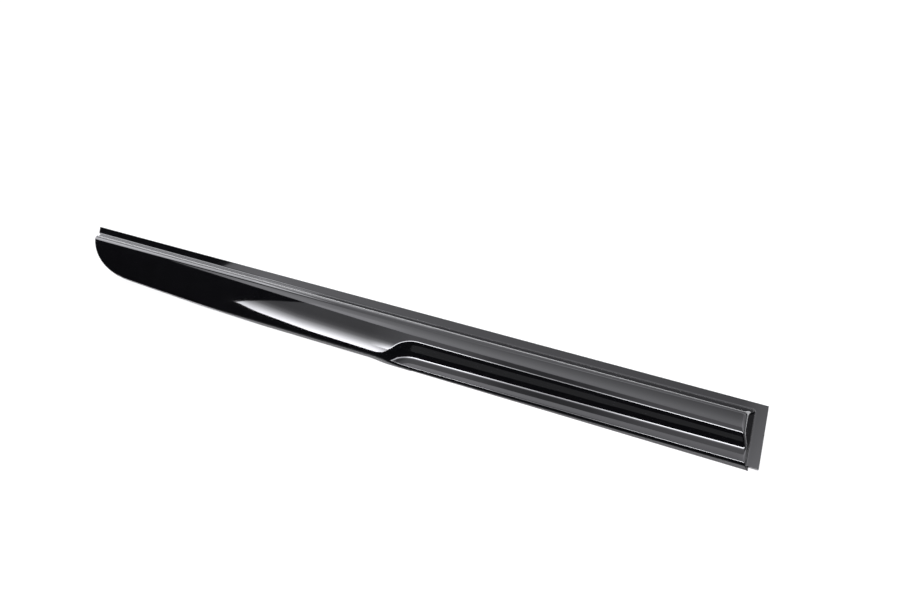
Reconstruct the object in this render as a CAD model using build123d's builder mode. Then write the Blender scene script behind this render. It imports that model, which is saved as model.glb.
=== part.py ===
from build123d import *
import os
from math import cos, radians, sin, tan

# Stick-on rain deflector for the left front side window, formed from one sheet of acrylic.
# It lies face up. X runs from the rounded front tip to the square rear end, Y from the lip
# to the top edge, and Z up from the surface that it lies on. All sizes are in millimetres.
# In the sizes, a distance "along" is from the tip, and a distance "down" is from the top edge.

# Overall size
LENGTH = 864.0
WIDTH = 70.0
SHEET = 3.0

# Adhesive foam strips behind the two flanges
TAPE_THICKNESS = 1.1
TAPE_MARGIN = 0.9
TOP_TAPE_WIDTH = 7.4
REAR_TAPE_WIDTH = 8.5
TAPE_BUTT_GAP = 0.5
TAPE_TIP_CLEARANCE = 7.0

# Bonding flanges along the top edge and the rear end
TOP_FLANGE = 9.5
REAR_FLANGE = 11.5
REAR_FLANGE_STOP = 3.0
REAR_RAKE = 4.0
FLANGE_BEND = 2.5

# Cross-section of the raised visor, heights measured from the flange's face
RISER_SLOPE = 52.0
RIDGE_RADIUS = 6.0
CROWN_RADIUS = 100.0
CROWN_FROM_LIP = 46.0
CROWN_RISE = 13.9
RIM_SLOPE = 76.0
RIM_RADIUS = 6.0
RIM_DEPTH = 8.0

# Sloping wall that closes the rear end
END_SLOPE = 68.0
END_RADIUS = 2.6
END_RADIUS_BACK = 0.5

# Lower shelf pressed into the rear half, with the sloping wall above it
SHELF_RISE = 1.1
SHELF_WIDTH = 17.5
SHELF_FRONT_ALONG = 504.0
SHELF_WALL_SLOPE = 45.0
SHELF_TURN_ANGLE = 64.0
SHELF_TURN_RUNOUT = 2.7
SHELF_FOOT_RADIUS = 7.0
SHELF_BROW_RADIUS = 3.0

# Curve of the wall's top ahead of the shelf's front: distances ahead, and down in shelf widths
SHELF_BROW_PULLS = ((24.0, 0.0), (26.0, 0.34), (144.0, 1.83))

# Lower edge of the rim: raised up to a place ahead of the shelf's front, then falling to the table
FRONT_RIM_LIFT = 3.5
RIM_LIFT_AHEAD = 56.0
RIM_FALL_AHEAD = 24.0

# Trimmed outline of the front tip, seen from above
TIP_FLANGE_CUT = (5.2, 9.4)
TIP_NOSE_START = (12.0, 11.0)
TIP_NOSE_PULL = (24.0, 36.0)
TIP_CHIN_PULL = (46.0, WIDTH - 8.2)
TIP_CHIN = (95.0, WIDTH - 6.2)
LIP_SWEEP_ALONG = 400.0

# Working lengths by which forms and cutters run past the finished piece, the nearness
# within which an edge is picked, and how far below the crown the brow's edges lie
OVERRUN = 20.0
DEPTH = 12.0
MARGIN = 2.0
OVERLAP = 8.0
NEAR = 0.01
BROW_BELOW = 1.0

# Levels above the surface that the part lies on
FLANGE_BACK = TAPE_THICKNESS
FLANGE_FACE = FLANGE_BACK + SHEET
CROWN_LEVEL = FLANGE_FACE + CROWN_RISE
SHELF_LEVEL = FLANGE_FACE + SHELF_RISE
FORM_TOP = CROWN_LEVEL + MARGIN

# Foot of the shelf's wall, and the radius that carries its front turn past the lip
SHELF_FOOT_DOWN = WIDTH - SHELF_WIDTH
SHELF_TURN_RADIUS = (SHELF_WIDTH + SHELF_TURN_RUNOUT) / (1 - cos(radians(SHELF_TURN_ANGLE)))

# Distances down of the crown's highest line and of the rear flange's lower end
CROWN_DOWN = WIDTH - CROWN_FROM_LIP
REAR_FLANGE_DROP = WIDTH - REAR_FLANGE_STOP

# Run of the raked rear edge for each millimetre down
REAR_RUN = REAR_RAKE / REAR_FLANGE_DROP


def across(down):
    """Y of a point given by its distance down from the top edge."""
    return WIDTH / 2 - down


def spot(along, down):
    """Plan position of a point given from the tip and from the top edge."""
    return (along - LENGTH / 2, across(down))


def rear_spot(inboard, down):
    """Plan position of a point given from the raked rear edge and from the top edge."""
    return spot(LENGTH - REAR_RAKE + REAR_RUN * down - inboard, down)


def run_out(line, down):
    """End of a straight run that carries on from a line to a distance down."""
    return line @ 1 + (line % 1) * ((across(down) - (line @ 1).Y) / (line % 1).Y)


def shelf_pocket(sink):
    """The space above the shelf, its wall steep along the side and fading out at the front.

    sink lowers the pocket by a depth.
    """
    brow_down = SHELF_FOOT_DOWN - (FORM_TOP - SHELF_LEVEL) / tan(radians(SHELF_WALL_SLOPE))
    brow_pulls = [
        spot(SHELF_FRONT_ALONG - ahead, brow_down + widths * SHELF_WIDTH)
        for ahead, widths in SHELF_BROW_PULLS
    ]
    far = LENGTH + 2 * OVERRUN
    outside = WIDTH + 2 * OVERRUN
    with BuildPart() as pocket:
        with BuildSketch(Plane.XY.offset(SHELF_LEVEL - sink)):
            with BuildLine():
                side = Line(spot(far, SHELF_FOOT_DOWN), spot(SHELF_FRONT_ALONG, SHELF_FOOT_DOWN))
                turn = JernArc(side @ 1, side % 1, SHELF_TURN_RADIUS, SHELF_TURN_ANGLE)
                Polyline(turn @ 1, run_out(turn, outside), spot(far, outside), side @ 0)
            make_face()
        with BuildSketch(Plane.XY.offset(FORM_TOP - sink)):
            with BuildLine():
                side = Line(spot(far, brow_down), spot(SHELF_FRONT_ALONG, brow_down))
                turn = Bezier(side @ 1, *brow_pulls)
                Polyline(turn @ 1, run_out(turn, outside), spot(far, outside), side @ 0)
            make_face()
        loft(ruled=True)
        floor_edges = pocket.faces().sort_by(Axis.Z)[0].edges()
        ends = floor_edges.filter_by(GeomType.CIRCLE)[0].vertices()
        fillet(
            floor_edges.filter_by(lambda edge: min(edge.distance_to(end) for end in ends) < NEAR),
            SHELF_FOOT_RADIUS + sink,
        )
    return pocket.part


def form(inset):
    """The top flange and the raised visor as a solid block, its skin moved inwards by inset."""
    reach = LENGTH / 2 + OVERRUN
    outside = WIDTH + 2 * OVERRUN
    flange_level = FLANGE_FACE - inset
    fold_down = TOP_FLANGE + inset * tan(radians(RISER_SLOPE / 2))
    riser_head = fold_down + (FORM_TOP - flange_level) / tan(radians(RISER_SLOPE))

    rim_plane = Plane(
        origin=(0, across(WIDTH), 0),
        x_dir=(1, 0, 0),
        z_dir=(0, -sin(radians(RIM_SLOPE)), cos(radians(RIM_SLOPE))),
    ).offset(-inset)
    end_top = Vector(*rear_spot(REAR_FLANGE, 0), FLANGE_FACE)
    end_low = Vector(*rear_spot(REAR_FLANGE, WIDTH), FLANGE_FACE)
    end_line = (end_low - end_top).normalized()
    rearward = Vector(0, 0, 1).cross(end_line)
    end_plane = Plane(
        origin=end_top,
        x_dir=end_line,
        z_dir=rearward * sin(radians(END_SLOPE)) + Vector(0, 0, cos(radians(END_SLOPE))),
    ).offset(-inset)
    pocket = shelf_pocket(inset)

    with BuildPart() as block:
        with BuildSketch(Plane.YZ.offset(-reach)) as profile:
            with BuildLine():
                Polyline(
                    (across(-OVERRUN), -DEPTH),
                    (across(-OVERRUN), flange_level),
                    (across(fold_down), flange_level),
                    (across(riser_head), FORM_TOP),
                    (across(outside), FORM_TOP),
                    (across(outside), -DEPTH),
                    close=True,
                )
            make_face()
            with Locations((across(CROWN_DOWN), CROWN_LEVEL - CROWN_RADIUS)):
                Circle(CROWN_RADIUS - inset, mode=Mode.INTERSECT)
            fillet(profile.vertices().sort_by(Axis.Y)[-1], RIDGE_RADIUS - inset)
            fold = profile.vertices().sort_by_distance((across(fold_down), flange_level))[0]
            fillet(fold, FLANGE_BEND + inset)
        extrude(amount=2 * reach)

        # Shelf and the brow above its wall
        add(pocket, mode=Mode.SUBTRACT)
        crown = block.faces().filter_by(GeomType.CYLINDER).sort_by(SortBy.AREA)[-1]
        brow_edges = crown.edges().filter_by(
            lambda edge: abs(edge.center().X) < reach - MARGIN
            and SHELF_LEVEL - inset + MARGIN < edge.center().Z < CROWN_LEVEL - inset - BROW_BELOW
        )
        fillet(brow_edges, SHELF_BROW_RADIUS)

        # Rim along the lip
        split(bisect_by=rim_plane, keep=Keep.BOTTOM)
        rim_edges = block.faces().filter_by(rim_plane)[0].edges()
        fillet(
            rim_edges.filter_by(lambda edge: edge.center().Z > 0 and abs(edge.center().X) < reach - MARGIN),
            RIM_RADIUS - inset,
        )

        # Wall across the rear end
        split(bisect_by=end_plane, keep=Keep.BOTTOM)
        end_edges = block.faces().filter_by(end_plane)[0].edges()
        fillet(
            end_edges.filter_by(
                lambda edge: edge.center().Z > -DEPTH + MARGIN
                and edge.center().Y < across(MARGIN - OVERRUN)
            ),
            max(END_RADIUS - inset, END_RADIUS_BACK),
        )
    return block.part


outer = form(0)
inner = form(SHEET)

# Space under the sheet
with BuildPart() as hollow:
    add(inner)
    with BuildSketch(Plane.XY.offset(-DEPTH)):
        with BuildLine():
            Polyline(
                spot(-OVERRUN, -OVERRUN),
                spot(LENGTH + OVERRUN, -OVERRUN),
                spot(LENGTH + OVERRUN, WIDTH - RIM_DEPTH),
                spot(-OVERRUN, WIDTH - RIM_DEPTH),
                close=True,
            )
        make_face()
    extrude(amount=DEPTH + FLANGE_BACK)

# Visor: the form and the rear flange, hollowed to the sheet's thickness and trimmed
with BuildPart() as visor:
    add(outer)
    with BuildSketch(Plane.XY.offset(FLANGE_BACK)):
        with BuildLine():
            Polyline(
                spot(-OVERRUN, 0),
                rear_spot(0, 0),
                rear_spot(0, REAR_FLANGE_DROP),
                rear_spot(REAR_FLANGE + OVERLAP, REAR_FLANGE_DROP),
                rear_spot(REAR_FLANGE + OVERLAP, TOP_FLANGE + OVERLAP),
                spot(-OVERRUN, TOP_FLANGE + OVERLAP),
                close=True,
            )
        make_face()
    extrude(amount=SHEET)
    add(hollow.part, mode=Mode.SUBTRACT)

    # Trimmed outline, with the rounded nose at the tip
    with BuildSketch():
        with BuildLine():
            lip = Line(spot(LENGTH + OVERRUN, WIDTH), spot(LIP_SWEEP_ALONG, WIDTH))
            sweep_arc = TangentArc(lip @ 1, spot(*TIP_CHIN), tangent=lip % 1)
            nose = Bezier(sweep_arc @ 1, spot(*TIP_CHIN_PULL), spot(*TIP_NOSE_PULL), spot(*TIP_NOSE_START))
            Polyline(
                nose @ 1,
                spot(*TIP_FLANGE_CUT),
                spot(0, 0),
                spot(LENGTH + OVERRUN, 0),
                lip @ 0,
            )
        make_face()
    extrude(amount=FORM_TOP, mode=Mode.INTERSECT)

    # Lower edge of the rim, raised ahead of the shelf
    with BuildSketch(Plane.XZ.offset(-across(WIDTH - RIM_DEPTH))):
        with BuildLine():
            shelf_x = SHELF_FRONT_ALONG - LENGTH / 2
            front_x = -LENGTH / 2 - OVERRUN
            lift_x = shelf_x - RIM_LIFT_AHEAD
            fall_x = shelf_x - RIM_FALL_AHEAD
            middle_x = (lift_x + fall_x) / 2
            lift = Line((front_x, FRONT_RIM_LIFT), (lift_x, FRONT_RIM_LIFT))
            fall = Bezier(lift @ 1, (middle_x, FRONT_RIM_LIFT), (middle_x, 0), (fall_x, 0))
            Polyline(fall @ 1, (fall_x, -DEPTH), (front_x, -DEPTH), lift @ 0)
        make_face()
    extrude(amount=2 * RIM_DEPTH, mode=Mode.SUBTRACT)
visor.part.label = "visor"

# Foam tape behind the top flange
with BuildPart() as top_tape:
    tape_foot = TAPE_MARGIN + TOP_TAPE_WIDTH
    with BuildSketch():
        with BuildLine():
            Polyline(
                spot(TAPE_TIP_CLEARANCE, TAPE_MARGIN),
                rear_spot(TAPE_MARGIN, TAPE_MARGIN),
                rear_spot(TAPE_MARGIN, tape_foot),
                spot(TAPE_TIP_CLEARANCE, tape_foot),
                close=True,
            )
        make_face()
    extrude(amount=TAPE_THICKNESS)
top_tape.part.label = "top_tape"

# Foam tape behind the rear flange, butted under the top strip
with BuildPart() as rear_tape:
    tape_head = TAPE_MARGIN + TOP_TAPE_WIDTH + TAPE_BUTT_GAP
    tape_foot = REAR_FLANGE_DROP - TAPE_MARGIN
    with BuildSketch():
        with BuildLine():
            Polyline(
                rear_spot(TAPE_MARGIN, tape_head),
                rear_spot(TAPE_MARGIN, tape_foot),
                rear_spot(TAPE_MARGIN + REAR_TAPE_WIDTH, tape_foot),
                rear_spot(TAPE_MARGIN + REAR_TAPE_WIDTH, tape_head),
                close=True,
            )
        make_face()
    extrude(amount=TAPE_THICKNESS)
rear_tape.part.label = "rear_tape"

os.makedirs("parts", exist_ok=True)
export_step(visor.part, "parts/visor.step")
export_step(top_tape.part, "parts/top_tape.step")
export_step(rear_tape.part, "parts/rear_tape.step")
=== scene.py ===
import logging
import math
from dataclasses import dataclass, field
from enum import Enum

import bpy
import numpy as np
from mathutils import Matrix, Vector


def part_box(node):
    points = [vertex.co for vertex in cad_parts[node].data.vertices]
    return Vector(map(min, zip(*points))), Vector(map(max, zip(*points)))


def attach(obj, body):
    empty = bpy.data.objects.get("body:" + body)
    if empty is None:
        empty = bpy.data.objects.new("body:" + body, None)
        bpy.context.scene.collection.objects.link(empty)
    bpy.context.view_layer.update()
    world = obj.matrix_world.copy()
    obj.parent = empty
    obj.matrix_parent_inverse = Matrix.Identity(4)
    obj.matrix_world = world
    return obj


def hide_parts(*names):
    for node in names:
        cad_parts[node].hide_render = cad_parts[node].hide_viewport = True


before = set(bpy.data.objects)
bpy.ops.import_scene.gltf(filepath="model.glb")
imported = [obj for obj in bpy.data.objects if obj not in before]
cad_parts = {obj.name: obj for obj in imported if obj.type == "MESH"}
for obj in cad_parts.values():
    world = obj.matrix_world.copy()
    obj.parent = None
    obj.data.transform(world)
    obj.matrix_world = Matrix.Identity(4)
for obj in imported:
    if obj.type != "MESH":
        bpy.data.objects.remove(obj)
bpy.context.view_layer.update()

log = logging.getLogger("rain_deflector")

MM = 0.001
TIE = 1e-9

# Socket numbers of the Mix node when it mixes colours
MIX_SHARE, MIX_FIRST, MIX_SECOND, MIX_RESULT = 0, 6, 7, 2

Place = tuple[float, float, float]
Colour = tuple[float, float, float]
Stops = tuple[tuple[float, float], ...]
Runs = tuple[tuple[float, int], ...]
Values = np.ndarray | float


def rounded_meet(first: np.ndarray, second: np.ndarray, radius: Values) -> np.ndarray:
    """Depth inside both of two bodies, with their common edge rounded.

    Where both depths are under the radius, the result is the radius less the length of
    the two shortfalls, which is a quarter round. Elsewhere it is the smaller depth.

    Args:
        first: depth inside the first body, positive inside.
        second: depth inside the second body.
        radius: radius of the round.

    Returns:
        The depth inside the rounded common part.
    """
    short_a = np.maximum(radius - first, 0.0)
    short_b = np.maximum(radius - second, 0.0)
    return np.maximum(radius, np.minimum(first, second)) - np.hypot(short_a, short_b)


def rounded_join(first: np.ndarray, second: np.ndarray, radius: Values) -> np.ndarray:
    """Depth inside either of two bodies, with the corner between them filled by a hollow round.

    Args:
        first: depth inside the first body, positive inside.
        second: depth inside the second body.
        radius: radius of the hollow round.

    Returns:
        The depth inside the joined body.
    """
    return -rounded_meet(-first, -second, radius)


def round_for(radius: Values, bend: Values) -> Values:
    """Rounding length that gives a radius where two faces turn by an angle: radius times (1 - cosine)."""
    return radius * (1.0 - np.cos(bend))


def between(first: Values, last: Values, share: np.ndarray) -> np.ndarray:
    """Value that lies a share of the way from a first one to a last one."""
    return first + share * (last - first)


def lead(first: np.ndarray, second: np.ndarray, span: float) -> np.ndarray:
    """Share from 0 to 1 by which the second of two depths is the smaller, over a span about a tie."""
    return np.clip(0.5 + (first - second) / span, 0.0, 1.0)


def ease(share: np.ndarray) -> np.ndarray:
    """Smooth step from 0 to 1: three times the square less twice the cube."""
    part = np.clip(share, 0.0, 1.0)
    return part * part * (3.0 - 2.0 * part)


def graded(start: float, runs: Runs) -> np.ndarray:
    """Positions that go from a start through each run's end in that run's number of equal steps.

    Args:
        start: first position.
        runs: each run's end and its number of steps.

    Returns:
        The positions in order.
    """
    starts = [start] + [end for end, _ in runs[:-1]]
    pieces = [np.linspace(a, b, n, endpoint=False) for a, (b, n) in zip(starts, runs)]
    return np.concatenate(pieces + [np.array([runs[-1][0]])])


@dataclass
class Wire:
    """An output of a shader node that can be used in arithmetic."""

    graph: "Graph"
    socket: bpy.types.NodeSocket

    def _maths(self, operation: str, left: "Wire | float", right: "Wire | float") -> "Wire":
        """Adds one Math node for an operation on two values."""
        return self.graph.add("ShaderNodeMath", {0: left, 1: right}, {"operation": operation})

    def __add__(self, other: "Wire | float") -> "Wire":
        """Sum."""
        return self._maths("ADD", self, other)

    __radd__ = __add__

    def __sub__(self, other: "Wire | float") -> "Wire":
        """Difference."""
        return self._maths("SUBTRACT", self, other)

    def __rsub__(self, other: float) -> "Wire":
        """Difference from a number."""
        return self._maths("SUBTRACT", other, self)

    def __mul__(self, other: "Wire | float") -> "Wire":
        """Product."""
        return self._maths("MULTIPLY", self, other)

    __rmul__ = __mul__

    def at_most(self, other: "Wire | float") -> "Wire":
        """Smaller of two values."""
        return self._maths("MINIMUM", self, other)

    def above(self, level: float) -> "Wire":
        """One where the value is above a level, else zero."""
        return self._maths("GREATER_THAN", self, level)


class Graph:
    """A node tree that is written as Python expressions."""

    def __init__(self, owner: bpy.types.Material | bpy.types.World | bpy.types.Light) -> None:
        """Gives a material, world or lamp an empty tree and keeps it."""
        owner.use_nodes = True
        self.tree = owner.node_tree
        self.tree.nodes.clear()

    def add(
        self,
        kind: str,
        inputs: dict | None = None,
        settings: dict | None = None,
        output: int | str = 0,
    ) -> Wire:
        """Adds a node, with its settings first and then its sockets' values or links.

        Args:
            kind: the node's type.
            inputs: socket name or number to a value or a Wire.
            settings: values of the node's own properties; "stops" fills a ramp with grey levels.
            output: name or number of the output that is returned.

        Returns:
            The chosen output, or the node's first one.
        """
        node = self.tree.nodes.new(kind)
        for name, value in (settings or {}).items():
            if name == "stops":
                self._fill(node.color_ramp.elements, value)
            else:
                setattr(node, name, value)
        for name, value in (inputs or {}).items():
            if isinstance(value, Wire):
                self.tree.links.new(value.socket, node.inputs[name])
            else:
                node.inputs[name].default_value = value
        return Wire(self, node.outputs[output] if node.outputs else None)

    def _fill(self, elements: bpy.types.ColorRampElements, stops: Stops) -> None:
        """Replaces a new ramp's two elements by grey levels at given places."""
        elements.remove(elements[-1])
        elements[0].position = stops[0][0]
        for place, _ in stops[1:]:
            elements.new(place)
        for element, (_, level) in zip(elements, stops):
            element.color = (level, level, level, 1.0)

    def mix(self, share: Wire, first: Wire | Colour, second: Wire | Colour) -> Wire:
        """Adds a Mix node that goes from a first colour, at share 0, to a second one, at share 1."""
        start, end = (colour if isinstance(colour, Wire) else (*colour, 1.0) for colour in (first, second))
        inputs = {MIX_SHARE: share, MIX_FIRST: start, MIX_SECOND: end}
        return self.add("ShaderNodeMix", inputs, {"data_type": "RGBA"}, output=MIX_RESULT)

    def noise(self, place: Wire, scale: float, detail: float, **others: float) -> Wire:
        """Adds a noise texture at a place, with a scale per metre and a number of octaves."""
        inputs = {"Vector": place, "Scale": scale, "Detail": detail, **others}
        return self.add("ShaderNodeTexNoise", inputs)


@dataclass(frozen=True)
class BlackAcrylic:
    """Polished black sheet: deep gloss, a faint ripple from forming, dust, and a sawn edge.

    Attributes:
        colour, dust_colour: colours of the clean sheet and under full dust.
        refraction: index of refraction.
        gloss_roughness: roughness where the haze is at its middle.
        haze_roughness, haze_dust: how far roughness and dust go with the haze.
        haze_scale, haze_detail, haze_fineness: its patches per metre, octaves and finer octaves' weight.
        speck_scale, speck_detail: specks per metre and their octaves.
        speck_level, speck_dust: noise level above which a speck shows, and its dust.
        edge_dust, edge_roughness: dust of the sawn edge, and how much rougher it is.
        ripple_scale, ripple_detail: ripples per metre and their octaves.
        ripple_height, ripple_strength: height of the ripple in metres, and the share that shows.
    """

    colour: Colour = (0.0009, 0.0009, 0.0012)
    dust_colour: Colour = (0.012, 0.012, 0.0135)
    refraction: float = 1.49
    gloss_roughness: float = 0.035
    haze_roughness: float = 0.05
    haze_scale: float = 45.0
    haze_detail: float = 5.0
    haze_fineness: float = 0.62
    haze_dust: float = 0.16
    speck_scale: float = 900.0
    speck_detail: float = 2.0
    speck_level: float = 0.68
    speck_dust: float = 0.35
    edge_dust: float = 0.5
    edge_roughness: float = 0.3
    ripple_scale: float = 28.0
    ripple_detail: float = 1.0
    ripple_height: float = 0.00006
    ripple_strength: float = 0.35

    def material(self) -> bpy.types.Material:
        """Builds the node material."""
        made = bpy.data.materials.new("black_acrylic")
        graph = Graph(made)
        place = graph.add("ShaderNodeTexCoord", output="Object")
        edge = graph.add("ShaderNodeAttribute", {}, {"attribute_name": "cut_edge"}, output="Fac")
        haze = graph.noise(place, self.haze_scale, self.haze_detail, Roughness=self.haze_fineness)
        specks = graph.noise(place, self.speck_scale, self.speck_detail).above(self.speck_level)
        ripple = graph.noise(place, self.ripple_scale, self.ripple_detail)
        dust = specks * self.speck_dust + edge * self.edge_dust + haze * haze * self.haze_dust
        roughness = (haze - 0.5) * self.haze_roughness + self.gloss_roughness + edge * self.edge_roughness
        bump = graph.add(
            "ShaderNodeBump",
            {"Strength": self.ripple_strength, "Distance": self.ripple_height, "Height": ripple},
        )
        shader = graph.add(
            "ShaderNodeBsdfPrincipled",
            {
                "Base Color": graph.mix(dust, self.colour, self.dust_colour),
                "Roughness": roughness,
                "IOR": self.refraction,
                "Normal": bump,
            },
        )
        graph.add("ShaderNodeOutputMaterial", {"Surface": shader})
        return made


@dataclass(frozen=True)
class FoamTape:
    """Grey closed-cell foam with a red peel-off film on its lower face.

    Attributes:
        foam_colour, cell_colour, film_colour: colours of the foam, its cells and the film.
        film_top: height of the film's upper side in metres.
        film_roughness, foam_roughness: roughness of the film, and how much rougher the foam is.
        cell_scale: cells per metre.
        crease_scale, crease_detail: creases per metre and their octaves.
        crease_height, crease_roughness: their height as a share of a cell's, and part in the roughness.
        bump_height, bump_strength: height of a cell in metres, and the share that shows.
    """

    foam_colour: Colour = (0.055, 0.055, 0.06)
    cell_colour: Colour = (0.11, 0.11, 0.115)
    film_colour: Colour = (0.42, 0.018, 0.02)
    film_top: float = 0.00012
    film_roughness: float = 0.22
    foam_roughness: float = 0.65
    cell_scale: float = 3500.0
    crease_scale: float = 120.0
    crease_detail: float = 3.0
    crease_height: float = 0.4
    crease_roughness: float = 0.1
    bump_height: float = 0.0001
    bump_strength: float = 0.5

    def material(self) -> bpy.types.Material:
        """Builds the node material."""
        made = bpy.data.materials.new("foam_tape")
        graph = Graph(made)
        place = graph.add("ShaderNodeTexCoord", output="Object")
        height = graph.add("ShaderNodeSeparateXYZ", {0: place}, output="Z")
        foam = height.above(self.film_top)
        cells = graph.add(
            "ShaderNodeTexVoronoi",
            {"Vector": place, "Scale": self.cell_scale},
            output="Distance",
        )
        crease = graph.noise(place, self.crease_scale, self.crease_detail)
        grain = graph.mix(cells, self.foam_colour, self.cell_colour)
        relief = cells * foam + crease * (1.0 - foam) * self.crease_height
        roughness = foam * self.foam_roughness + self.film_roughness + crease * self.crease_roughness
        bump = graph.add(
            "ShaderNodeBump",
            {"Strength": self.bump_strength, "Distance": self.bump_height, "Height": relief},
        )
        shader = graph.add(
            "ShaderNodeBsdfPrincipled",
            {
                "Base Color": graph.mix(foam, self.film_colour, grain),
                "Roughness": roughness,
                "Normal": bump,
            },
        )
        graph.add("ShaderNodeOutputMaterial", {"Surface": shader})
        return made


@dataclass(frozen=True)
class PaleFloor:
    """White table that shows as white to the camera and in reflections, and keeps the shadow.

    Attributes:
        colour: colour under the lamps.
        glow: brightness that the camera and reflections see.
        glow_share: share of that glow in what the camera sees; the rest keeps the shadow.
    """

    colour: Colour = (0.85, 0.85, 0.85)
    glow: float = 1.0
    glow_share: float = 0.8

    def material(self) -> bpy.types.Material:
        """Builds the node material."""
        made = bpy.data.materials.new("pale_floor")
        graph = Graph(made)
        camera = graph.add("ShaderNodeLightPath", output="Is Camera Ray")
        glossy = graph.add("ShaderNodeLightPath", output="Is Glossy Ray")
        through = graph.add("ShaderNodeLightPath", output="Is Transmission Ray")
        diffuse = graph.add("ShaderNodeBsdfDiffuse", {"Color": (*self.colour, 1.0)})
        light = graph.add("ShaderNodeEmission", {"Strength": self.glow})
        reflected = (glossy + through).at_most(1.0) * self.glow
        mirrored = graph.add("ShaderNodeEmission", {"Strength": reflected})
        seen = graph.add("ShaderNodeMixShader", {0: camera * self.glow_share, 1: diffuse, 2: light})
        shader = graph.add("ShaderNodeAddShader", {0: seen, 1: mirrored})
        graph.add("ShaderNodeOutputMaterial", {"Surface": shader})
        return made


@dataclass(frozen=True)
class SheetGrid:
    """Grid of places on the sheet, in columns along it and rows across it.

    Attributes:
        columns, rows: the columns' places along and the rows' places down, before they slant.
        along, down: every point's distances from the tip and from the top edge.
        flanged: true where the flange's plane counts.
        last: each column's row at the trimmed outline.
    """

    columns: np.ndarray
    rows: np.ndarray
    along: np.ndarray
    down: np.ndarray
    flanged: np.ndarray
    last: np.ndarray


@dataclass(frozen=True)
class SheetFace:
    """The sheet's face as an open mesh.

    Attributes:
        along, down: each point's distances from the tip and from the top edge.
        spots: the points in the object's axes.
        outward: unit direction out of the face at each point.
        quads, triangles: corner numbers of the four-cornered and the three-cornered faces.
    """

    along: np.ndarray
    down: np.ndarray
    spots: np.ndarray
    outward: np.ndarray
    quads: np.ndarray
    triangles: np.ndarray

    def open_sides(self) -> np.ndarray:
        """Sides that only one face has, as pairs of corner numbers in that face's order."""
        four, three = self.quads, self.triangles
        pairs = [four[:, [0, 1]], four[:, [1, 2]], four[:, [2, 3]], four[:, [3, 0]]]
        pairs += [three[:, [0, 1]], three[:, [1, 2]], three[:, [2, 0]]]
        sides = np.concatenate(pairs)
        keys = np.sort(sides, axis=1)
        _, place, times = np.unique(keys, axis=0, return_index=True, return_counts=True)
        return sides[place[times == 1]]

    def aside(self, sides: np.ndarray) -> np.ndarray:
        """Direction out of the outline at each point: the sum of those of its two open sides."""
        run = self.spots[sides[:, 1]] - self.spots[sides[:, 0]]
        across = np.cross(run, self.outward[sides[:, 0]])
        total = np.zeros_like(self.spots)
        np.add.at(total, sides[:, 0], across)
        np.add.at(total, sides[:, 1], across)
        return total


@dataclass(frozen=True)
class CutEdge:
    """The sheet's cut edge.

    Attributes:
        loop: numbers of the face's points on the outline.
        back: the back's points under them.
        rings: rings of points between face and back.
        outward: unit direction out of the edge at each ring's points.
    """

    loop: np.ndarray
    back: np.ndarray
    rings: np.ndarray
    outward: np.ndarray


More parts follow.
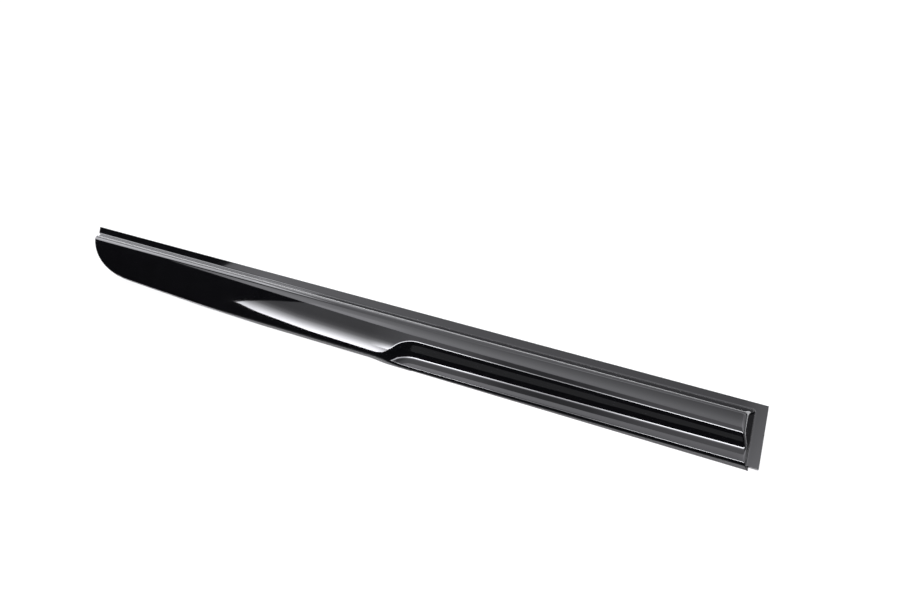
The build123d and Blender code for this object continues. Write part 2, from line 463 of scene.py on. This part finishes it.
@dataclass
class Visor:
    """The formed sheet: flanges, riser, crown, pressed-in shelf, rim and rear end wall.

    Sizes are in millimetres. "Along" runs from the tip, "down" from the top edge, and "up"
    from the surface that the part lies on. The sheet's face is where a depth that is built
    up from rounded planes and a cylinder falls to zero, and its back is that face moved
    inwards by the sheet's thickness.

    Attributes:
        length, width: sizes over all.
        crown_level, flange_face: heights of the crown's top line and of the flanges' face.
        sheet: thickness.
        top_flange: distance down of the fold between top flange and riser.
        rear_flange, rear_flange_stop: width of the rear flange, and how far short of the lip it ends.
        rear_rake: how far the rear edge slants back on its way down.
        flange_taper: loss of the top flange's width per millimetre along.
        flange_taper_from: where along this taper and the riser's and ridge's changes begin.
        fold_radius: radius of the hollow fold between flange and riser.
        flange_reach: how far ahead of the end wall's foot the flange's plane stays flat.
        flange_sag: fall of that plane per squared millimetre further ahead, in the lower half.
        riser_slope, riser_easing: slope of the riser, and its loss per millimetre along.
        ridge_radius, ridge_tightening: radius over the riser, and its loss per millimetre along.
        corner_radius: radius of the corner between riser and end wall.
        crown_radius, crown_from_lip: radius of the crown, and its top line's distance from the lip.
        rim_slope, rear_rim_slope: slope of the rim up to the shelf's front, and at the end wall.
        rim_radius: radius between crown and rim.
        shelf_rim_radius, rear_rim_radius: radius between shelf and rim at the shelf's two ends.
        front_rim_lift: height of the rim's lower edge ahead of the shelf.
        rim_lift_ahead, rim_fall_ahead: where ahead of the shelf that edge starts down and is down.
        end_slope, shelf_end_slope: slope of the end wall behind the crown, and behind the shelf.
        slant_from, slant_over: distance down at which one becomes the other, and the run of that.
        end_radius: radius of the edge on top of the end wall.
        shelf_rise, shelf_climb: the shelf's height over the flanges, and its gain per millimetre along.
        shelf_width, shelf_taper: the shelf's width at its front, and its gain per millimetre along.
        shelf_front, shelf_turn: where along its side turns to the lip, and the radius of that arc.
        foot_scale, foot_tightening: distance in which the foot's slope grows by a factor of e, and the
            loss of that distance per millimetre along.
        wall_start, wall_slope: where outside the shelf's outline the straight wall begins, and its slope.
        wall_fade, wall_least: angles round the arc over which that slope eases off, and the share left.
        wall_reach, wall_lift: where outside a parabola lifts the wall, and its rise per squared millimetre.
        brow_radius, least_bend: radius between wall and crown, and the least angle it is rounded for.
        blend_span: difference of depth over which one face's radius and lean become the next's.
        flange_cut: along and down of the lower end of the top flange's slanted end.
        nose, nose_steps: the nose curve's start, two pull points and end, and its number of points.
        lip_sweep: where along the arc behind the nose runs out into the straight lip.
        edge, edge_steps: radius of the cut edge, and steps in each of its quarter rounds.
        tip_clear: how far below the crown's top line the tip's upright cut begins.
        least_upright: least upward share of the face's direction that sets an upright cut's length.
        lip_zone: distance from the lip within which nothing reaches below the rim's lower edge.
        front_columns, rear_columns, wall_columns, flange_columns, last_columns: runs or steps of the
            grid's columns, in order from the tip to the rear edge.
        upper_rows, shelf_rows, lip_rows, last_rows: those of its rows, from the top edge to the lip.
        follow_from: distance down from which the rows follow the rim's lower edge.
        rake_from, rake_over: where along the columns start to slant as the rear edge, and the run of that.
        probe, trim_probe: half steps that measure how the depth changes and how the outline slants.
        search_margin, halvings: room below the table and above the crown in the search for the face,
            and its number of halvings.
        name: name of the object.
    """

    length: float
    width: float
    crown_level: float
    sheet: float = 3.0
    flange_face: float = 4.1
    top_flange: float = 10.2
    rear_flange: float = 11.5
    rear_flange_stop: float = 3.0
    rear_rake: float = 4.0
    flange_taper: float = 0.0065
    flange_taper_from: float = 550.0
    fold_radius: float = 3.2
    flange_reach: float = 4.0
    flange_sag: float = 0.05
    riser_slope: float = math.radians(52.0)
    riser_easing: float = math.radians(0.004)
    ridge_radius: float = 11.0
    ridge_tightening: float = 0.021
    corner_radius: float = 4.0
    crown_radius: float = 100.0
    crown_from_lip: float = 46.0
    rim_slope: float = math.radians(76.0)
    rear_rim_slope: float = math.radians(63.0)
    rim_radius: float = 6.0
    shelf_rim_radius: float = 4.1
    rear_rim_radius: float = 5.2
    front_rim_lift: float = 3.5
    rim_lift_ahead: float = 56.0
    rim_fall_ahead: float = 24.0
    end_slope: float = math.radians(60.0)
    shelf_end_slope: float = math.radians(50.0)
    slant_from: float = 42.0
    slant_over: float = 12.0
    end_radius: float = 4.0
    shelf_rise: float = -0.7
    shelf_climb: float = 0.0085
    shelf_width: float = 16.2
    shelf_taper: float = 0.0108
    shelf_front: float = 498.0
    shelf_turn: float = 34.0
    foot_scale: float = 5.0
    foot_tightening: float = 0.001
    wall_start: float = 3.4
    wall_slope: float = math.radians(46.0)
    wall_fade: tuple[float, float] = (math.radians(38.0), math.radians(68.0))
    wall_least: float = 0.26
    wall_reach: float = 18.5
    wall_lift: float = 0.05
    brow_radius: float = 9.0
    least_bend: float = 0.15
    blend_span: float = 4.0
    flange_cut: tuple[float, float] = (5.2, 9.4)
    nose: tuple[tuple[float, float], ...] = ((12.0, 11.0), (24.0, 36.0), (46.0, 61.8), (95.0, 63.8))
    nose_steps: int = 400
    lip_sweep: float = 400.0
    edge: float = 0.3
    edge_steps: int = 3
    tip_clear: float = 2.0
    least_upright: float = 0.3
    lip_zone: float = 8.0
    front_columns: Runs = (
        (5.2, 12), (12.0, 12), (40.0, 46), (95.0, 36),
        (200.0, 22), (425.0, 24), (520.0, 110),
    )
    rear_columns: Runs = ((560.0, 8), (835.0, 34), (844.0, 10))
    wall_columns: int = 26
    flange_columns: tuple[float, int] = (853.5, 12)
    last_columns: int = 4
    upper_rows: Runs = (
        (5.0, 3), (12.5, 14), (15.0, 3), (26.5, 20), (37.0, 6),
        (46.0, 16), (49.0, 4), (56.5, 13), (61.5, 5),
    )
    shelf_rows: int = 12
    lip_rows: tuple[float, int] = (68.8, 8)
    last_rows: int = 7
    follow_from: float = 58.0
    rake_from: float = 560.0
    rake_over: float = 260.0
    probe: float = 0.02
    trim_probe: float = 0.05
    search_margin: tuple[float, float] = (2.0, 1.0)
    halvings: int = 44
    name: str = "visor_skin"

    def __post_init__(self) -> None:
        """Works out the distances that follow from the sizes."""
        self.crown_down = self.width - self.crown_from_lip
        self.foot_down = self.width - self.shelf_width
        self.shelf_level = self.flange_face + self.shelf_rise
        self.flange_end = self.width - self.rear_flange_stop
        self.rake_run = self.rear_rake / self.flange_end
        self.end_foot = self.length - self.rear_rake - self.rear_flange
        self.end_base = self.end_foot + self.flange_face / math.tan(self.end_slope)

    def shelf_floor(self, along: np.ndarray, down: np.ndarray) -> tuple[np.ndarray, np.ndarray]:
        """Height and slope of the shelf and of the wall round it.

        The shelf's outline is a straight side that turns to the lip on an arc. The shelf
        rises towards it as an exponential of the distance and goes over into a straight wall,
        whose slope eases off between two angles turned round the arc. The shelf climbs and its
        foot tightens towards the rear. A parabola lifts the wall clear of the crown beyond its
        reach.

        Args:
            along, down: distances from the tip and from the top edge.

        Returns:
            The heights, and the slopes as rise over run.
        """
        ahead = np.maximum(self.shelf_front - along, 0.0)
        past = np.maximum(along - self.shelf_front, 0.0)
        over = self.foot_down + self.shelf_turn - down - self.shelf_taper * past
        outside = np.hypot(ahead, over) - self.shelf_turn
        turned = np.arctan2(ahead, over)
        fade_start, fade_end = self.wall_fade
        faded = ease((turned - fade_start) / (fade_end - fade_start))
        steep = math.tan(self.wall_slope) * (1.0 - faded * (1.0 - self.wall_least))
        scale = self.foot_scale - self.foot_tightening * past
        share = np.exp(np.minimum(outside - self.wall_start, 0.0) / scale)
        rise = scale * share + np.maximum(outside - self.wall_start, 0.0)
        clear = np.maximum(outside - self.wall_reach, 0.0)
        level = self.shelf_level + self.shelf_climb * past
        height = level + steep * rise + self.wall_lift * clear * clear
        return height, steep * share + 2.0 * self.wall_lift * clear

    def rearward(self, along: np.ndarray) -> np.ndarray:
        """Share of the way from the shelf's front to the end wall."""
        return np.clip((along - self.shelf_front) / (self.end_foot - self.shelf_front), 0.0, 1.0)

    def rim_lean(self, along: np.ndarray) -> np.ndarray:
        """Slope of the rim, which leans out further towards the rear."""
        return between(self.rim_slope, self.rear_rim_slope, self.rearward(along))

    def depth(self, along: np.ndarray, down: np.ndarray, up: np.ndarray, flanged: np.ndarray) -> np.ndarray:
        """Depth inside the solid form below the sheet's face, positive inside.

        Crown: crown radius less the distance from its axis. Shelf: height below the shelf's
        floor, shortened by its slope. Rim, riser and end wall: distance behind a plane. Each
        pair meets in a round. The flange's plane joins them with a hollow round, and in the
        lower half it falls away as a parabola ahead of the end wall, clear of the shelf.

        Args:
            along, down, up: distances from the tip, from the top edge and from the table.
            flanged: true where the flange's plane counts.

        Returns:
            The depths.
        """
        # Crown and shelf, with the brow between them
        off_axis = down - self.crown_down
        crown = self.crown_radius - np.hypot(off_axis, up - (self.crown_level - self.crown_radius))
        crown_lean = np.arcsin(off_axis / self.crown_radius)
        floor, slope = self.shelf_floor(along, down)
        shelf = (floor - up) / np.hypot(1.0, slope)
        wall_lean = np.arctan(slope)
        brow_bend = np.maximum(wall_lean - crown_lean, self.least_bend)
        body = rounded_meet(crown, shelf, round_for(self.brow_radius, brow_bend))

        # Rim
        rim_slope = self.rim_lean(along)
        rim = (self.width - down) * np.sin(rim_slope) - up * np.cos(rim_slope)
        on_shelf = lead(crown, shelf, self.blend_span)
        lean = between(crown_lean, wall_lean, on_shelf)
        shelf_lip = between(self.shelf_rim_radius, self.rear_rim_radius, self.rearward(along))
        lip_radius = between(self.rim_radius, shelf_lip, on_shelf)
        body = rounded_meet(body, rim, round_for(lip_radius, rim_slope - lean))

        # Riser and end wall, with the ridge over them
        above = up - self.flange_face
        past = np.maximum(along - self.flange_taper_from, 0.0)
        riser_slope = self.riser_slope - self.riser_easing * past
        fold = self.top_flange - self.flange_taper * past
        riser = (down - fold) * np.sin(riser_slope) - above * np.cos(riser_slope)
        behind = self.end_foot + self.rake_run * down - along
        lower = ease((down - self.slant_from) / self.slant_over)
        slant = between(self.end_slope, self.shelf_end_slope, lower)
        end = behind * np.sin(slant) - above * np.cos(slant)
        end = np.minimum(end, behind * math.sin(self.end_slope) - above * math.cos(self.end_slope))
        corner = math.acos(math.cos(self.riser_slope) * math.cos(self.end_slope))
        side = rounded_meet(riser, end, round_for(self.corner_radius, corner))
        at_end = lead(riser, end, self.blend_span)
        ridge = between(self.ridge_radius - self.ridge_tightening * past, self.end_radius, at_end)
        body = rounded_meet(body, side, round_for(ridge, between(riser_slope, slant, at_end)))

        # Flange
        ahead = np.maximum(behind - self.flange_reach, 0.0)
        lower_half = ease(off_axis / (self.foot_down - self.crown_down))
        flange = -above - self.flange_sag * ahead * ahead * lower_half
        joined = rounded_join(body, flange, round_for(self.fold_radius, self.riser_slope))
        return np.where(flanged, joined, body)

    def height(self, along: np.ndarray, down: np.ndarray, flanged: np.ndarray) -> np.ndarray:
        """Height of the sheet's face: where the depth falls to zero, found by halving.

        Args:
            along, down: distances from the tip and from the top edge.
            flanged: true where the flange's plane counts.

        Returns:
            The heights above the table.
        """
        below, above = self.search_margin
        low = np.full(along.shape, -below)
        high = np.full(along.shape, self.crown_level + above)
        for _ in range(self.halvings):
            middle = 0.5 * (low + high)
            inside = self.depth(along, down, middle, flanged) > 0.0
            low = np.where(inside, middle, low)
            high = np.where(inside, high, middle)
        return 0.5 * (low + high)

    def facing(self, along: np.ndarray, down: np.ndarray, up: np.ndarray, flanged: np.ndarray) -> np.ndarray:
        """Unit direction out of the face, in the object's axes: where the depth falls fastest.

        Args:
            along, down, up: places on the face.
            flanged: true where the flange's plane counts.

        Returns:
            One direction for each point.
        """
        spots = (along, down, up)
        slopes = []
        for axis in range(3):
            ahead = [spot + (self.probe if n == axis else 0.0) for n, spot in enumerate(spots)]
            back = [spot - (self.probe if n == axis else 0.0) for n, spot in enumerate(spots)]
            slopes.append(self.depth(*ahead, flanged) - self.depth(*back, flanged))
        outward = np.stack([-slopes[0], slopes[1], -slopes[2]], axis=-1)
        return outward / np.linalg.norm(outward, axis=-1, keepdims=True)

    def lip_level(self, along: np.ndarray) -> np.ndarray:
        """Height of the rim's lower edge: lifted ahead of the shelf, then eased down to the table."""
        start = self.shelf_front - self.rim_lift_ahead
        span = self.rim_lift_ahead - self.rim_fall_ahead
        return self.front_rim_lift * (1.0 - ease((along - start) / span))

    def trim_line(self, along: np.ndarray) -> np.ndarray:
        """Distance down of the trimmed outline: slanted flange end, nose curve, then a long arc.

        The nose is a cubic with two pull points. The arc leaves it and runs out along the lip.

        Args:
            along: distances from the tip.

        Returns:
            The distances from the top edge.
        """
        share = np.linspace(0.0, 1.0, self.nose_steps)[:, None]
        start, pull_a, pull_b, chin = (np.array(spot) for spot in self.nose)
        curve = (1 - share) ** 3 * start + 3 * share * (1 - share) ** 2 * pull_a
        curve = curve + 3 * share**2 * (1 - share) * pull_b + share**3 * chin
        run = self.lip_sweep - chin[0]
        drop = self.width - chin[1]
        radius = (run * run + drop * drop) / (2.0 * drop)
        left = np.clip(self.lip_sweep - along, 0.0, run)
        arc = self.width - (radius - np.sqrt(radius * radius - left * left))
        corner = np.array([[0.0, 0.0], self.flange_cut])
        front = np.concatenate([corner, curve])
        return np.where(along < chin[0], np.interp(along, front[:, 0], front[:, 1]), arc)

    def grid(self) -> SheetGrid:
        """Places of the grid's columns and rows, denser where the form bends.

        The lower rows follow the rim's lower edge, the rows of the tip stop at the trimmed
        outline, and the rear columns slant with the rear edge.

        Returns:
            The grid.
        """
        edge = self.edge
        rear = self.length - self.rear_rake - edge
        end_columns = ((self.end_base, self.wall_columns), self.flange_columns, (rear, self.last_columns))
        columns = graded(edge, self.front_columns + self.rear_columns + end_columns)
        flange_rows = ((self.flange_end - edge, self.shelf_rows), (self.flange_end, 1))
        lower_rows = (*flange_rows, self.lip_rows, (self.width, self.last_rows))
        rows = graded(edge, self.upper_rows + lower_rows)
        lip = self.width - (self.lip_level(columns) + edge) / np.tan(self.rim_lean(columns))
        follow = ease((rows - self.follow_from) / (self.width - self.follow_from))
        down = rows[None, :] + (lip - self.width)[:, None] * follow[None, :]
        step = self.trim_probe
        lean = (self.trim_line(columns + step) - self.trim_line(columns - step)) / (2.0 * step)
        limit = np.maximum(self.trim_line(columns) - edge * np.hypot(1.0, lean), edge)
        down = np.minimum(down, limit[:, None])
        last = np.argmax(down >= np.minimum(limit[:, None], down[:, -1:]) - TIE, axis=1)
        rake = ease((columns - self.rake_from) / self.rake_over)
        along = columns[:, None] + self.rake_run * down * rake[:, None]
        flanged = np.broadcast_to(rows[None, :] <= self.flange_end - 0.5 * edge, down.shape)
        return SheetGrid(columns, rows, along, down, flanged, last)

    def faces(self, grid: SheetGrid) -> tuple[np.ndarray, np.ndarray]:
        """Corner numbers of the grid's faces, with the cut-off rows folded onto the outline.

        Args:
            grid: the places on the sheet.

        Returns:
            Four-cornered faces and three-cornered ones.
        """
        count = len(grid.rows)
        row = np.minimum(np.arange(count)[None, :], grid.last[:, None])
        numbers = np.arange(len(grid.columns))[:, None] * count + row
        corners = [numbers[:-1, :-1], numbers[:-1, 1:], numbers[1:, 1:], numbers[1:, :-1]]
        past_end = grid.columns[1:] > self.end_base + TIE
        below_flange = grid.rows[1:] > self.flange_end - self.edge + TIE
        quads = np.stack(corners, axis=-1)[~(past_end[:, None] & below_flange[None, :])]
        front_flat = quads[:, 0] == quads[:, 1]
        rear_flat = quads[:, 2] == quads[:, 3]
        full = quads[~front_flat & ~rear_flat]
        front = quads[front_flat & ~rear_flat][:, [0, 2, 3]]
        rear = quads[~front_flat & rear_flat][:, [0, 1, 2]]
        return full, np.concatenate([front, rear])

    def surface(self) -> SheetFace:
        """Works out the sheet's face at the grid's places.

        Returns:
            The face as an open mesh, without unused points.
        """
        grid = self.grid()
        quads, triangles = self.faces(grid)
        used, flat = np.unique(np.concatenate([quads.ravel(), triangles.ravel()]), return_inverse=True)
        quads, triangles = flat[: quads.size].reshape(-1, 4), flat[quads.size :].reshape(-1, 3)
        along, down, flanged = (values.ravel()[used] for values in (grid.along, grid.down, grid.flanged))
        up = self.height(along, down, flanged)
        outward = self.facing(along, down, up, flanged)
        spots = np.stack([along - 0.5 * self.length, 0.5 * self.width - down, up], axis=-1)
        return SheetFace(along, down, spots, outward, quads, triangles)

    def cut_edge(self, face: SheetFace, sides: np.ndarray) -> CutEdge:
        """Rings of points that carry the face over into the back round the outline.

        Each ring lies a share of the way from face to back and stands proud of the outline:
        a quarter round at the face, a straight cut, and a quarter round at the back. The cut
        follows the face's direction, and round the tip it is upright.

        Args:
            face: the sheet's face.
            sides: its open sides.

        Returns:
            The cut edge.
        """
        loop = np.unique(sides)
        spots, outward = face.spots[loop], face.outward[loop]
        low = face.down[loop] > self.crown_down + self.tip_clear
        tip = (low & (face.along[loop] < self.shelf_front))[:, None]
        through = spots - self.sheet * outward
        upright = spots - np.array([0.0, 0.0, self.sheet]) / np.maximum(outward[:, 2:], self.least_upright)
        back = np.where(tip, upright, through)
        aside = face.aside(sides)[loop] * np.where(tip, [1.0, 1.0, 0.0], 1.0)
        aside = aside / np.linalg.norm(aside, axis=1, keepdims=True)
        turns = np.linspace(0.0, 0.5 * math.pi, self.edge_steps + 1)[1:]
        into = self.edge / self.sheet * (1.0 - np.cos(turns))
        into = np.concatenate([into, 1.0 - into[::-1]])[:, None, None]
        proud = self.edge * np.concatenate([np.sin(turns), np.sin(turns[::-1])])[:, None, None]
        lean = np.concatenate([turns, math.pi - turns[::-1]])[:, None, None]
        rings = spots + into * (back - spots) + proud * aside
        ring_outward = np.cos(lean) * outward + np.sin(lean) * aside
        ring_outward = ring_outward / np.linalg.norm(ring_outward, axis=-1, keepdims=True)
        return CutEdge(loop, back, rings, ring_outward)

    def build(self) -> bpy.types.Object:
        """Builds the closed sheet: face, back, and a rounded cut edge all round.

        The back is the face moved inwards by the thickness. Nothing reaches below the rim's
        lower edge or the table.

        Returns:
            The visor's object.
        """
        face = self.surface()
        sides = face.open_sides()
        cut = self.cut_edge(face, sides)
        back = face.spots - self.sheet * face.outward
        back[cut.loop] = cut.back
        spots = np.concatenate([face.spots, back, cut.rings.reshape(-1, 3)])
        normals = np.concatenate([face.outward, -face.outward, cut.outward.reshape(-1, 3)])
        near_lip = spots[:, 1] < self.lip_zone - 0.5 * self.width
        lowest = np.where(near_lip, self.lip_level(spots[:, 0] + 0.5 * self.length), 0.0)
        spots[:, 2] = np.maximum(spots[:, 2], lowest)

        count = len(back)
        order = np.zeros(count, int)
        order[cut.loop] = np.arange(len(cut.loop))
        rings = [2 * count + n * len(cut.loop) + order[sides] for n in range(len(cut.rings))]
        lines = [sides, *rings, count + sides]
        strips = [np.column_stack([second, first[:, ::-1]]) for first, second in zip(lines, lines[1:])]
        quads = np.concatenate([face.quads, count + face.quads[:, ::-1], *strips])
        triangles = np.concatenate([face.triangles, count + face.triangles[:, ::-1]])
        mesh = bpy.data.meshes.new(self.name)
        mesh.from_pydata((spots * MM).tolist(), [], quads.tolist() + triangles.tolist())
        mesh.validate()
        mesh.polygons.foreach_set("use_smooth", np.ones(len(mesh.polygons), bool))
        sawn = np.zeros(len(spots), np.float32)
        sawn[2 * count :] = 1.0
        mesh.attributes.new("cut_edge", "FLOAT", "POINT").data.foreach_set("value", sawn)
        mesh.normals_split_custom_set_from_vertices(normals.tolist())
        mesh.update()
        made = bpy.data.objects.new(self.name, mesh)
        bpy.context.scene.collection.objects.link(made)
        return made

    def dress(self, made: bpy.types.Object, finish: BlackAcrylic) -> None:
        """Gives the sheet its finish and its place in the model."""
        made.data.materials.append(finish.material())
        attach(made, "root")
        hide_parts("visor")


@dataclass
class Tapes:
    """The two foam strips behind the flanges, kept as the CAD has them."""

    nodes: tuple[str, ...] = ("top_tape", "rear_tape")

    def dress(self, finish: FoamTape) -> None:
        """Puts the foam finish on both strips."""
        material = finish.material()
        for name in self.nodes:
            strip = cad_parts[name]
            strip.data.materials.clear()
            strip.data.materials.append(material)
            log.info("dressed %s", name)


class Aim(Enum):
    """Which way a lamp panel faces."""

    DOWN = "down"
    PART = "part"


@dataclass
class Panel:
    """A soft lamp panel, hung flat above the table or stood up facing the part.

    Attributes:
        name: name of the lamp.
        place: its middle, in metres.
        size: its length and depth, in metres.
        radiance: brightness of its face.
        aim: which way it faces.
        along: levels along its length, as place and share of the brightness.
        across: levels across its depth, from its near side.
        near_side: how far in its near side lies along its length, as shares of the depth.
        left_side: how far in its left side lies, at the near and the far side, as shares of the length.
        tint: colour of its light.
    """

    name: str
    place: Place
    size: tuple[float, float]
    radiance: float
    aim: Aim = Aim.DOWN
    along: Stops = ((0.0, 1.0), (1.0, 1.0))
    across: Stops = ((0.0, 1.0), (1.0, 1.0))
    near_side: Stops = ((0.0, 0.0), (1.0, 0.0))
    left_side: tuple[float, float] = (0.0, 0.0)
    tint: Colour = (0.95, 0.95, 1.0)

    def build(self) -> bpy.types.Object:
        """Makes the area lamp, with its outline and brightness shaped by ramps.

        Returns:
            The lamp's object.
        """
        lamp = bpy.data.lights.new(self.name, "AREA")
        lamp.shape = "RECTANGLE"
        lamp.size, lamp.size_y = self.size
        lamp.energy = self.radiance * math.pi * self.size[0] * self.size[1]
        lamp.color = self.tint
        graph = Graph(lamp)
        spot = graph.add("ShaderNodeNewGeometry", output="Parametric")
        long_share = graph.add("ShaderNodeSeparateXYZ", {0: spot}, output="X")
        deep_share = graph.add("ShaderNodeSeparateXYZ", {0: spot}, output="Y")
        inward = deep_share - graph.add("ShaderNodeValToRGB", {0: long_share}, {"stops": self.near_side})
        near_left, far_left = self.left_side
        inside = inward.above(0.0) * (long_share - deep_share * (far_left - near_left)).above(near_left)
        level_a = graph.add("ShaderNodeValToRGB", {0: long_share}, {"stops": self.along})
        level_b = graph.add("ShaderNodeValToRGB", {0: inward}, {"stops": self.across})
        emission = graph.add("ShaderNodeEmission", {"Strength": level_a * level_b * inside})
        graph.add("ShaderNodeOutputLight", {"Surface": emission})
        made = bpy.data.objects.new(self.name, lamp)
        made.location = self.place
        if self.aim is Aim.PART:
            made.rotation_euler = (-Vector(self.place)).to_track_quat("-Z", "Y").to_euler()
        bpy.context.scene.collection.objects.link(made)
        return made


@dataclass
class Studio:
    """Floor, lamps, surroundings and camera.

    Attributes:
        floor_half: half of the table's side, in metres.
        surroundings: brightness of the surroundings in reflections.
        image_width, focal_px: the photograph's width and its camera's focal length, in pixels.
        sensor: width of the camera's sensor in millimetres.
        near_clip: least distance that the camera sees, in metres.
        camera_place: the camera's place, in metres.
        camera_right, camera_up, camera_forward: the picture's right, its top and the view.
        panels: the lamps.
    """

    floor_half: float = 6.0
    surroundings: float = 0.03
    image_width: float = 920.0
    focal_px: float = 800.0
    sensor: float = 36.0
    near_clip: float = 0.01
    camera_place: Place = (0.39240, -0.33287, 0.76270)
    camera_right: Place = (0.91137, 0.37266, -0.17473)
    camera_up: Place = (-0.23749, 0.82285, 0.51626)
    camera_forward: Place = (-0.33617, 0.42901, -0.83842)
    panels: list[Panel] = field(default_factory=list)

    def floor(self, finish: PaleFloor) -> None:
        """Lays the table under the part."""
        half = self.floor_half
        corners = [(-half, -half, 0), (half, -half, 0), (half, half, 0), (-half, half, 0)]
        mesh = bpy.data.meshes.new("table")
        mesh.from_pydata(corners, [], [(0, 1, 2, 3)])
        mesh.materials.append(finish.material())
        made = bpy.data.objects.new("table", mesh)
        bpy.context.scene.collection.objects.link(made)

    def world(self) -> None:
        """Sets dim surroundings that show as white where the camera looks past the table."""
        made = bpy.data.worlds.new("surroundings")
        graph = Graph(made)
        seen = graph.add("ShaderNodeLightPath", output="Is Camera Ray")
        strength = seen * (1.0 - self.surroundings) + self.surroundings
        light = graph.add("ShaderNodeBackground", {"Strength": strength})
        graph.add("ShaderNodeOutputWorld", {"Surface": light})
        bpy.context.scene.world = made

    def camera(self) -> None:
        """Sets the camera at the photograph's place, with its roll."""
        lens = bpy.data.cameras.new("camera")
        lens.sensor_width = self.sensor
        lens.lens = self.sensor * self.focal_px / self.image_width
        lens.clip_start = self.near_clip
        made = bpy.data.objects.new("camera", lens)
        axes = Matrix((self.camera_right, self.camera_up, -Vector(self.camera_forward))).transposed()
        made.matrix_world = Matrix.Translation(self.camera_place) @ axes.to_4x4()
        bpy.context.scene.collection.objects.link(made)
        bpy.context.scene.camera = made

    def build(self) -> None:
        """Sets up the whole studio."""
        bpy.context.scene.view_settings.view_transform = "Standard"
        self.floor(PaleFloor())
        self.world()
        for panel in self.panels:
            panel.build()
        self.camera()


def hung_panels() -> list[Panel]:
    """Lamps above the part, whose reflections are the light fields and lines on the sheet.

    Returns:
        The light field ahead of the shelf, the lines on brow and foot, and the grey of the rest.
    """
    key = Panel(
        name="key_panel",
        place=(-0.6, -0.15, 1.0),
        size=(0.8, 0.9),
        radiance=33.0,
        along=((0.06, 0.25), (0.25, 0.8), (0.42, 1.0), (0.66, 1.0), (0.8, 0.0)),
        across=((0.0, 1.0), (0.108, 0.68), (0.203, 0.34), (0.311, 0.107), (0.407, 0.045), (0.511, 0.032)),
        near_side=((0.11, 0.444), (0.175, 0.389), (0.225, 0.3), (0.41, 0.178), (0.64, 0.133)),
        left_side=(-0.03, 0.43),
    )
    line = Panel(
        name="line_panel",
        place=(0.225, -0.0725, 1.004),
        size=(1.45, 0.515),
        radiance=45.0,
        along=(
            (0.02, 0.0), (0.1, 1.3), (0.19, 1.15), (0.27, 0.55),
            (0.335, 0.42), (0.41, 0.5), (0.49, 1.0), (0.6, 1.3),
        ),
        across=((0.0, 1.0), (0.08, 0.7), (0.15, 0.39), (0.27, 0.11), (0.38, 0.036), (0.6, 0.029)),
    )
    back = Panel(
        name="back_panel",
        place=(0.25, 0.735, 1.008),
        size=(3.1, 1.1),
        radiance=4.1,
        along=(
            (0.02, 0.15), (0.085, 0.7), (0.14, 1.0), (0.284, 1.0), (0.426, 0.82),
            (0.555, 0.72), (0.575, 1.2), (0.9, 1.2), (0.94, 2.4),
        ),
        across=(
            (0.0, 1.0), (0.055, 1.0), (0.145, 0.74), (0.19, 0.63),
            (0.36, 0.42), (0.78, 0.38), (0.9, 1.0),
        ),
        near_side=((0.0, 0.225), (0.263, 0.02), (0.3, 0.0)),
        left_side=(-0.043, 0.397),
    )
    return [key, line, back]


def stood_panels() -> list[Panel]:
    """Plain lamps round the part that light its slopes.

    Returns:
        The lamps at the far left corner, low behind it, behind, in front and at the right.
    """
    return [
        Panel("corner_panel", (-1.97, 1.56, 1.02), (1.4, 1.06), 6.0, Aim.PART),
        Panel("low_panel", (-2.3, 2.0, 0.3), (3.4, 0.6), 1.6, Aim.PART),
        Panel("far_panel", (0.1, 2.2, 1.2), (4.0, 2.2), 1.7, Aim.PART),
        Panel("front_panel", (0.0, -2.6, 0.6), (5.0, 1.0), 0.38, Aim.PART),
        Panel("side_panel", (2.6, 0.0, 0.9), (3.0, 1.6), 1.2, Aim.PART),
    ]


def main() -> None:
    """Builds and dresses the pieces in order, then the studio."""
    logging.basicConfig(level=logging.INFO)
    low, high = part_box("visor")
    size = [(b - a) / MM for a, b in zip(low, high)]
    visor = Visor(length=size[0], width=size[1], crown_level=high[2] / MM)
    skin = visor.build()
    visor.dress(skin, BlackAcrylic())
    log.info("built %s with %d faces", skin.name, len(skin.data.polygons))
    Tapes().dress(FoamTape())
    Studio(panels=hung_panels() + stood_panels()).build()


if __name__ == "__main__":
    main()
